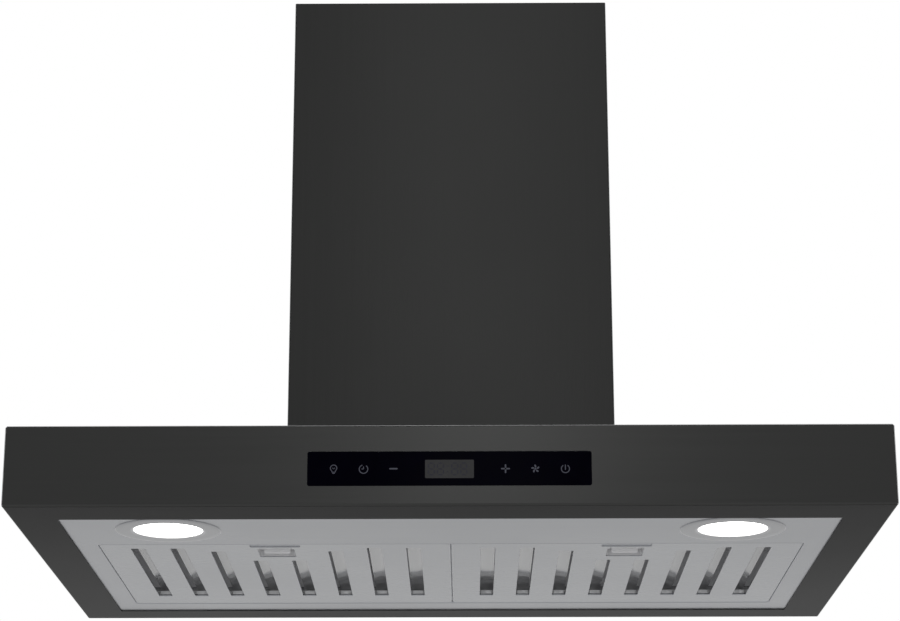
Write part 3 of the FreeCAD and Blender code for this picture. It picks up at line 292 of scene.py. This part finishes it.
# inside of the rear panel: unpainted metal made lighter as painted light, with painted bounced light (emission 0.015)
m.bare_metal_and_painted_light(inner, CANOPY_INSIDE_BARE_PAINTED_LIGHT, 0.3, 0.55, 0.015)
M["black_back"] = m.m
m = brushed("black_steel_lower_chimney", BLACK_V_PAINTED_SHADE, 0.29, "Z", bump=0.06, soft=0.03, Specular_Tint=DULL_EDGE)
m.bare_metal_and_painted_light(m.inside(0.1526, -0.2796), BARE_CHIMNEY, 0.6, 0.42)
M["black_v"] = m.m
m = brushed("black_steel_upper_chimney", BLACK_V_PAINTED_SHADE, 0.29, "Z", bump=0.06, soft=0.03, Specular_Tint=DULL_EDGE)
m.bare_metal_and_painted_light(m.inside(0.1512, -0.2782), BARE_CHIMNEY, 0.6, 0.42)
M["black_u"] = m.m
for key, m, z in (("panel", brushed("stainless_panel", (0.216, 0.222, 0.234), 0.30, "X", bump=0.14, soft=0.05), 0.0032 - Z_HANG),
                  ("pan", brushed("stainless_filter", (0.222, 0.228, 0.240), 0.28, "X", bump=0.12, soft=0.05), 0.0033 - Z_HANG),
                  ("polished", brushed("stainless_polished", (0.190, 0.192, 0.198), 0.10, "Y", metallic=0.25, bump=0.02, soft=0.02, vary=(0.97, 1.03), Specular_IOR_Level=0.45), None)):
    if z is not None:
        # painted highlight on the rolled edges of the panel and filter sheets
        m.painted_bend_highlight(1.7)
    # hidden back sides: unpainted stainless made lighter as painted light, with painted bounced light (emission 0.05,
    # mottled on the filter pans)
    m.bare_metal_and_painted_light(m.upper(z), FILTER_BACK_BARE_PAINTED_LIGHT, 0.5, 0.42, 0.05, 0.8 if key == "pan" else 0.0)
    if key == "panel":
        # painted light (emission) on the panel's edges in the gap above the black lips, to lighten the shade line
        # there
        m.edge_glow(m.within(0.0019 - Z_HANG, 0.0080 - Z_HANG), 0.03)
    elif key == "pan":
        # painted light (emission) on the pressed step ahead of the latch, then on the outer sides beside the seams,
        # lightening the shade lines there
        place = m.n.new("ShaderNodeSeparateXYZ")
        m.link(m.co, place.inputs["Vector"])
        step = m.maths("MULTIPLY", m.within(0.0022 - Z_HANG, 0.0028 - Z_HANG), m.maths("LESS_THAN", place.outputs[1], -0.3325))
        m.edge_glow(step, 0.09)
        side = m.maths("ABSOLUTE", m.maths("SUBTRACT", m.maths("ABSOLUTE", place.outputs[0], 0.0), 0.1579), 0.0)
        rim = m.maths("MAXIMUM", m.maths("GREATER_THAN", side, 0.1573), m.maths("GREATER_THAN", m.maths("ABSOLUTE", m.maths("ADD", place.outputs[1], 0.20925), 0.0), 0.1364))
        m.edge_glow(m.maths("MULTIPLY", rim, m.within(0.0017 - Z_HANG, 0.0160 - Z_HANG)), 0.03)
    M[key] = m.m
# latch and latch cup: a matt finish, with a colour made lighter than the stainless as painted light in the recess
M["latch"] = brushed("latch_matt_painted_light", (0.66, 0.66, 0.67), 0.5, "X", grain=1.4, metallic=0.2, bump=0.08, soft=0.05).m
M["cup"] = brushed("latch_cup_matt_painted_light", (0.52, 0.52, 0.53), 0.5, "X", grain=1.4, metallic=0.2, bump=0.08, soft=0.05).m
m = brushed("satin_bezel", (0.166, 0.169, 0.178), 0.24, "X", grain=1.6, bump=0.05, soft=0.04)
# painted highlight on the bezel's sloped faces
m.painted_bend_highlight(1.9)
sep = m.n.new("ShaderNodeSeparateXYZ")
m.link(m.co, sep.inputs["Vector"])
dx = m.maths("SUBTRACT", m.maths("ABSOLUTE", sep.outputs[0], 0.0), 0.246)
dy = m.maths("SUBTRACT", sep.outputs[1], -0.4045)
far = m.maths("POWER", m.maths("ADD", m.maths("MULTIPLY", dx, dx), m.maths("MULTIPLY", dy, dy)), 0.5)
# painted lamp light round the lens: a lighter colour, then a painted glow (emission) at the lens rim
m.bare_metal_and_painted_light(m.maths("LESS_THAN", far, 0.0304), (0.62, 0.62, 0.61), 0.0, 0.6)
m.glow(m.remap(far, 1.0, 0.0, 0.0300, 0.0340, smooth=True), 0.12)
# painted light (emission) on the bezel's outer edge, lightening its shade line
m.edge_glow(m.maths("GREATER_THAN", far, 0.0453), 0.035)
M["bezel"] = m.m

m = Mat("galvanised", (0.56, 0.58, 0.59), 0.75, 0.42)
sp = m.voronoi((90.0, 90.0, 90.0))
g = m.n.new("ShaderNodeRGBToBW"); m.link(sp, g.inputs[0])
m.tone(g.outputs[0], 0.82, 1.15)
m.rough(g.outputs[0], 0.32, 0.5)
m.bump(m.noise((260.0,) * 3, 3.0), 0.08, 0.0001)
M["galvanised"] = m.m

m = Mat("zinc_plate", (0.58, 0.59, 0.6), 1.0, 0.3)
nz = m.noise((900.0,) * 3, 4.0)
m.tone(nz, 0.85, 1.1, 0.3, 0.7)
m.rough(nz, 0.22, 0.42, 0.3, 0.7)
m.bump(nz, 0.12, 0.00005)
M["zinc"] = m.m

m = Mat("cast_aluminium", (0.5, 0.5, 0.51), 0.95, 0.5)
nz = m.noise((700.0,) * 3, 6.0, 0.7)
m.tone(m.noise((40.0,) * 3, 3.0), 0.86, 1.08, 0.3, 0.7)
m.rough(nz, 0.42, 0.62, 0.3, 0.7)
m.bump(nz, 0.35, 0.0002)
M["cast"] = m.m

m = Mat("core_laminations", (0.28, 0.28, 0.29), 0.95, 0.42)
wv = m.wave((620.0, 1.0, 1.0), "X", 0.4)
m.tone(wv, 0.7, 1.1)
m.rough(m.noise((500.0,) * 3, 3.0), 0.32, 0.5, 0.3, 0.7)
m.bump(wv, 0.3, 0.0001)
M["core"] = m.m

M["ground"] = brushed("ground_shaft", (0.5, 0.5, 0.51), 0.2, "X", grain=1.2, bump=0.06, soft=0.05).m

m = Mat("enamelled_copper", (0.5, 0.16, 0.06), 0.85, 0.3, Coat_Weight=0.6, Coat_Roughness=0.15)
wv = m.wave((1.0, 320.0, 320.0), "Y", 3.0)
m.tone(wv, 0.65, 1.15)
m.bump(wv, 0.5, 0.0004)
M["copper"] = m.m

m = Mat("spring_wire", (0.48, 0.48, 0.49), 1.0, 0.22)
nz = m.noise((1500.0,) * 3, 3.0)
m.rough(nz, 0.16, 0.32, 0.3, 0.7)
m.tone(nz, 0.9, 1.08, 0.3, 0.7)
m.bump(nz, 0.08, 0.00003)
M["spring"] = m.m


def plastic(name, color, rough, grain=900.0, bump=0.18, spec=0.45):
    m = Mat(name, color, 0.0, rough, Specular_IOR_Level=spec)
    nz = m.noise((grain,) * 3, 5.0, 0.65)
    m.tone(m.noise((30.0,) * 3, 3.0), 0.92, 1.08, 0.3, 0.7)
    m.rough(nz, rough - 0.06, rough + 0.08, 0.3, 0.7)
    m.bump(nz, bump, 0.0001)
    return m.m


M["black_plastic"] = plastic("black_plastic", (0.022, 0.022, 0.023), 0.5)
M["flap_plastic"] = plastic("flap_plastic", (0.06, 0.06, 0.065), 0.45)
M["white_plastic"] = plastic("white_plastic", (0.62, 0.62, 0.6), 0.5)
M["lead"] = plastic("lead_sleeve", (0.045, 0.045, 0.047), 0.45, grain=600.0)

m = Mat("solder_mask", (0.018, 0.12, 0.055), 0.0, 0.32)
tr = m.voronoi((420.0, 420.0, 420.0), "DISTANCE_TO_EDGE", "Distance", 0.25)
m.tone(m.remap(tr, 1.0, 0.0, 0.0, 0.12), 0.8, 1.9)
m.bump(m.remap(tr, 1.0, 0.0, 0.0, 0.12), 0.3, 0.00006)
m.rough(m.noise((200.0,) * 3, 3.0), 0.26, 0.4, 0.3, 0.7)
M["board"] = m.m

m = Mat("lamp_lens", (0.92, 0.92, 0.9), 0.0, 0.45)
m.set("Emission Color", (1.0, 0.985, 0.96, 1.0))
m.set("Emission Strength", 5.0)
m.bump(m.noise((1400.0,) * 3, 3.0), 0.2, 0.00008)
m.tone(m.noise((300.0,) * 3, 3.0), 0.96, 1.02, 0.3, 0.7)
M["lens"] = m.m

m = Mat("touch_glass", (0.0004, 0.0003, 0.0018), 0.0, 0.09, Specular_IOR_Level=0.005)
nz = m.noise((60.0,) * 3, 4.0)
m.rough(nz, 0.10, 0.16, 0.3, 0.7)
m.tone(nz, 0.8, 1.2, 0.3, 0.7)
m.bump(m.noise((25.0,) * 3, 2.0), 0.02, 0.0002)
M["glass"] = m.m

m = Mat("display_face", (0.031, 0.031, 0.032), 0.0, 0.3, Specular_IOR_Level=0.03)
nz = m.noise((500.0, 500.0, 500.0), 2.0)
m.tone(m.noise((40.0,) * 3, 3.0), 0.9, 1.1, 0.3, 0.7)
m.rough(nz, 0.18, 0.28, 0.3, 0.7)
M["display"] = m.m

m = Mat("display_segment", (0.0235, 0.0235, 0.031), 0.0, 0.3, Specular_IOR_Level=0.03)
m.tone(m.noise((90.0,) * 3, 2.0), 0.92, 1.08, 0.3, 0.7)
M["segment"] = m.m

m = Mat("icon_ink", (0.060, 0.062, 0.078), 0.0, 0.4, Specular_IOR_Level=0.03)
m.tone(m.noise((300.0,) * 3, 2.0), 0.9, 1.1, 0.3, 0.7)
M["icon"] = m.m

LOOK = {
    "black_h": ["canopy_shell"],
    "black_back": ["rear_panel"],
    "black_v": ["lower_chimney"],
    "black_u": ["upper_chimney"],
    "panel": ["light_panel"],
    "pan": ["filter_left_pan", "filter_right_pan"],
    "cup": ["filter_left_latch_cup", "filter_right_latch_cup"],
    "polished": ["filter_left_baffles", "filter_right_baffles"],
    "latch": ["filter_left_latch", "filter_right_latch"],
    "bezel": ["light_left_bezel", "light_right_bezel"],
    "lens": ["light_left_lens", "light_right_lens"],
    "board": ["light_left_led_board", "light_right_led_board", "control_board", "main_board"],
    "cast": ["light_left_housing", "light_right_housing", "motor_front_shell", "motor_rear_shell", "motor_capacitor"],
    "galvanised": ["blower_box", "hanging_plate", "scroll_housing", "scroll_side_plate", "blower_wheel", "chimney_wall_bracket", "motor_bracket"],
    "zinc": ["panel_nuts", "sheet_screws", "motor_tie_screws", "control_screws", "bracket_screws", "motor_bearings"],
    "core": ["motor_stator", "motor_rotor"],
    "ground": ["motor_shaft", "damper_rod"],
    "copper": ["motor_windings"],
    "spring": ["light_spring_clips", "filter_left_latch_spring", "filter_right_latch_spring"],
    "black_plastic": ["outlet_collar", "control_carrier", "cable_gland"],
    "flap_plastic": ["damper_flap_left", "damper_flap_right"],
    "white_plastic": ["electronics_box", "electronics_cover"],
    "glass": ["control_glass"],
    "display": ["display_module"],
    "lead": ["light_leads", "control_lead", "motor_lead"],
}
for extra in ("touch_springs", "touch_pads"):
    if extra in nodes:
        LOOK["lead" if extra == "touch_pads" else "spring"].append(extra)
seen = set()
for key, names in LOOK.items():
    for name in names:
        o = nodes[name]
        o.data.materials.clear()
        o.data.materials.append(M[key])
        seen.add(name)
missing = sorted(set(nodes) - seen)
if missing:
    raise RuntimeError("no look for %s" % missing)


# --------------------------------------------------- printed symbols, display
glass_lo, glass_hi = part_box("control_glass")
FACE_Y = glass_lo.y
ICON_Z = 0.0316 - Z_HANG


def printed(name, loops, material, y, thick=0.00004, body="hood"):
    """A thin printed shape on the glass. loops: lists of (x, z) in metres, each a closed strip or polygon."""
    bm = bmesh.new()
    for loop in loops:
        front = [bm.verts.new((x, y - thick, z)) for x, z in loop]
        back = [bm.verts.new((x, y, z)) for x, z in loop]
        bm.faces.new(front)
        bm.faces.new(list(reversed(back)))
        for k in range(len(loop)):
            j = (k + 1) % len(loop)
            bm.faces.new((front[k], back[k], back[j], front[j]))
    bmesh.ops.recalc_face_normals(bm, faces=bm.faces)
    me = bpy.data.meshes.new(name)
    bm.to_mesh(me)
    bm.free()
    o = bpy.data.objects.new(name, me)
    scene.collection.objects.link(o)
    o.data.materials.append(material)
    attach(o, body)
    return o


def bar(cx, cz, w, h, r=None, n=5):
    """A bar with rounded ends."""
    r = min(w, h) / 2 if r is None else r
    pts = []
    for sx, sz, a0 in ((1, 1, 0), (-1, 1, 90), (-1, -1, 180), (1, -1, 270)):
        for k in range(n + 1):
            a = math.radians(a0 + 90.0 * k / n)
            pts.append((cx + sx * (w / 2 - r) + r * math.cos(a), cz + sz * (h / 2 - r) + r * math.sin(a)))
    out = []
    for p in pts:
        if not out or math.dist(p, out[-1]) > 1e-7:
            out.append(p)
    if math.dist(out[0], out[-1]) < 1e-7:
        out.pop()
    return out


def arc(cx, cz, r, w, a0, a1, n=40):
    """Pieces of a ring from a0 to a1 degrees, as quads."""
    quads = []
    for k in range(n):
        p, q = (math.radians(a0 + (a1 - a0) * j / n) for j in (k, k + 1))
        quads.append([(cx + (r - w / 2) * math.cos(p), cz + (r - w / 2) * math.sin(p)), (cx + (r + w / 2) * math.cos(p), cz + (r + w / 2) * math.sin(p)),
                      (cx + (r + w / 2) * math.cos(q), cz + (r + w / 2) * math.sin(q)), (cx + (r - w / 2) * math.cos(q), cz + (r - w / 2) * math.sin(q))])
    return quads


def line(x0, z0, x1, z1, w):
    dx, dz = x1 - x0, z1 - z0
    d = math.hypot(dx, dz)
    px, pz = -dz / d * w / 2, dx / d * w / 2
    return [(x0 + px, z0 + pz), (x0 - px, z0 - pz), (x1 - px, z1 - pz), (x1 + px, z1 + pz)]


MM = 0.001
w = 0.75 * MM
ix = [x * MM for x in (-97.2, -72.1, -47.0, 47.0, 72.1, 97.2)]
# lamp
x = ix[0]
loops = arc(x, ICON_Z + 0.9 * MM, 2.7 * MM, w, -50, 230, 36)
loops += [line(x - 1.75 * MM, ICON_Z - 1.1 * MM, x - 1.3 * MM, ICON_Z - 2.4 * MM, w), line(x + 1.75 * MM, ICON_Z - 1.1 * MM, x + 1.3 * MM, ICON_Z - 2.4 * MM, w),
          bar(x, ICON_Z - 2.6 * MM, 2.9 * MM, 0.7 * MM), bar(x, ICON_Z - 3.6 * MM, 2.2 * MM, 0.7 * MM),
          line(x - 1.0 * MM, ICON_Z + 1.2 * MM, x, ICON_Z + 0.2 * MM, 0.6 * MM), line(x + 1.0 * MM, ICON_Z + 1.2 * MM, x, ICON_Z + 0.2 * MM, 0.6 * MM)]
printed("icon_lamp", loops, M["icon"], FACE_Y)
# timer
x = ix[1]
loops = arc(x, ICON_Z, 3.6 * MM, w, 105, 415, 44)
loops += [line(x, ICON_Z, x, ICON_Z + 2.2 * MM, w), line(x, ICON_Z, x - 1.6 * MM, ICON_Z + 0.3 * MM, w)]
printed("icon_timer", loops, M["icon"], FACE_Y)
# less, more
printed("icon_minus", [bar(ix[2], ICON_Z + 0.3 * MM, 7.0 * MM, 1.25 * MM)], M["icon"], FACE_Y)
printed("icon_plus", [bar(ix[3], ICON_Z + 0.1 * MM, 7.6 * MM, 1.25 * MM), bar(ix[3], ICON_Z + 0.1 * MM, 1.25 * MM, 7.6 * MM)], M["icon"], FACE_Y)
# fan
x = ix[4]
loops = [bar(x, ICON_Z, 1.5 * MM, 1.5 * MM, n=6)]
for k in range(5):
    a = math.radians(90 + 72 * k)
    blade = []
    for t, s in ((0.9, -0.25), (1.7, -0.75), (2.8, -0.55), (3.6, 0.15), (3.3, 0.95), (2.3, 0.85), (1.2, 0.35)):
        blade.append((x + (t * math.cos(a) - s * math.sin(a)) * MM, ICON_Z + (t * math.sin(a) + s * math.cos(a)) * MM))
    loops.append(blade)
printed("icon_fan", loops, M["icon"], FACE_Y)
# power
x = ix[5]
loops = arc(x, ICON_Z - 0.1 * MM, 3.4 * MM, w, 122, 418, 44)
loops.append(bar(x, ICON_Z + 1.2 * MM, 0.8 * MM, 4.6 * MM))
printed("icon_power", loops, M["icon"], FACE_Y)
# display window and its unlit segments
printed("display_window", [bar(0.0, ICON_Z, 41.0 * MM, 15.8 * MM, r=0.9 * MM)], M["display"], FACE_Y)
seg = []


def digit(cx, cz, w_, h_, t):
    s = []
    for dx, dz, ww, hh in ((0, h_ / 2, w_, t), (0, 0, w_, t), (0, -h_ / 2, w_, t)):
        s.append([(cx - ww / 2 + t * 0.7, cz + dz), (cx - ww / 2 + t * 1.2, cz + dz + t / 2), (cx + ww / 2 - t * 1.2, cz + dz + t / 2),
                  (cx + ww / 2 - t * 0.7, cz + dz), (cx + ww / 2 - t * 1.2, cz + dz - t / 2), (cx - ww / 2 + t * 1.2, cz + dz - t / 2)])
    for dx in (-w_ / 2, w_ / 2):
        for dz in (h_ / 4, -h_ / 4):
            s.append([(cx + dx, cz + dz + h_ / 4 - t * 0.7), (cx + dx - t / 2, cz + dz + h_ / 4 - t * 1.2), (cx + dx - t / 2, cz + dz - h_ / 4 + t * 1.2),
                      (cx + dx, cz + dz - h_ / 4 + t * 0.7), (cx + dx + t / 2, cz + dz - h_ / 4 + t * 1.2), (cx + dx + t / 2, cz + dz + h_ / 4 - t * 1.2)])
    return s


for cx in (-15.2, -7.6, 4.4, 12.0):
    seg += digit(cx * MM, ICON_Z, 5.0 * MM, 10.0 * MM, 1.0 * MM)
seg += [bar(-1.6 * MM, ICON_Z + d * MM, 1.0 * MM, 1.0 * MM) for d in (-2.4, 2.4)]
printed("display_segments", seg, M["segment"], FACE_Y - 0.00004, 0.00003)

# ------------------------------------------------------ latch springs, own copies on the filter bodies
for side in ("left", "right"):
    name = "filter_%s_latch_spring" % side
    o = bpy.data.objects.new("latch_spring_%s" % side, nodes[name].data.copy())
    scene.collection.objects.link(o)
    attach(o, "filter_" + side)
    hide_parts(name)
    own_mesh(o)

# --------------------------------------------------------------- stage, light
me = bpy.data.meshes.new("floor")
bm = bmesh.new()
S, ZF = 60.0, -5.0
bm.faces.new([bm.verts.new(p) for p in ((-S, -S, ZF), (S, -S, ZF), (S, S, ZF), (-S, S, ZF))])
bm.to_mesh(me)
bm.free()
floor = bpy.data.objects.new("floor", me)
scene.collection.objects.link(floor)
fm = Mat("floor_pale", (0.86, 0.86, 0.86), 0.0, 0.9)
fm.tone(fm.noise((0.6,) * 3, 3.0), 0.97, 1.02, 0.3, 0.7)
floor.data.materials.append(fm.m)

world = bpy.data.worlds.new("studio")
scene.world = world
world.use_nodes = True
bg = world.node_tree.nodes["Background"]
bg.inputs["Color"].default_value = (1.0, 1.0, 1.0, 1.0)
bg.inputs["Strength"].default_value = 1.0


def area(name, at, aim, size, size_y, power, color=(1, 1, 1)):
    light = bpy.data.lights.new(name, "AREA")
    light.shape = "RECTANGLE"
    light.size, light.size_y = size, size_y
    light.energy = power
    light.color = color
    o = bpy.data.objects.new(name, light)
    scene.collection.objects.link(o)
    o.location = at
    o.rotation_euler = (Vector(aim) - Vector(at)).to_track_quat("-Z", "Y").to_euler()
    return o


area("softbox_front", (0.05, -3.6, 1.35), (0.0, -0.3, 0.0), 0.30, 1.9, 6.4)

# --------------------------------------------------------------------- camera
yaw, pitch, roll = (math.radians(v) for v in (-0.36, 17.718, -0.07))
fwd = Vector((math.sin(yaw) * math.cos(pitch), math.cos(yaw) * math.cos(pitch), math.sin(pitch)))
right = Vector((math.cos(yaw), -math.sin(yaw), 0.0))
up = right.cross(fwd)
r = right * math.cos(roll) + up * math.sin(roll)
u = -right * math.sin(roll) + up * math.cos(roll)
cam = bpy.data.objects.new("camera", bpy.data.cameras.new("camera"))
scene.collection.objects.link(cam)
cam.matrix_world = Matrix(((r.x, u.x, -fwd.x, 0.0133), (r.y, u.y, -fwd.y, -2.520), (r.z, u.z, -fwd.z, -0.4744 - Z_HANG), (0, 0, 0, 1)))
cam.data.sensor_fit = "HORIZONTAL"
cam.data.sensor_width = 36.0
cam.data.lens = 99.15
cam.data.clip_end = 300.0
scene.camera = cam
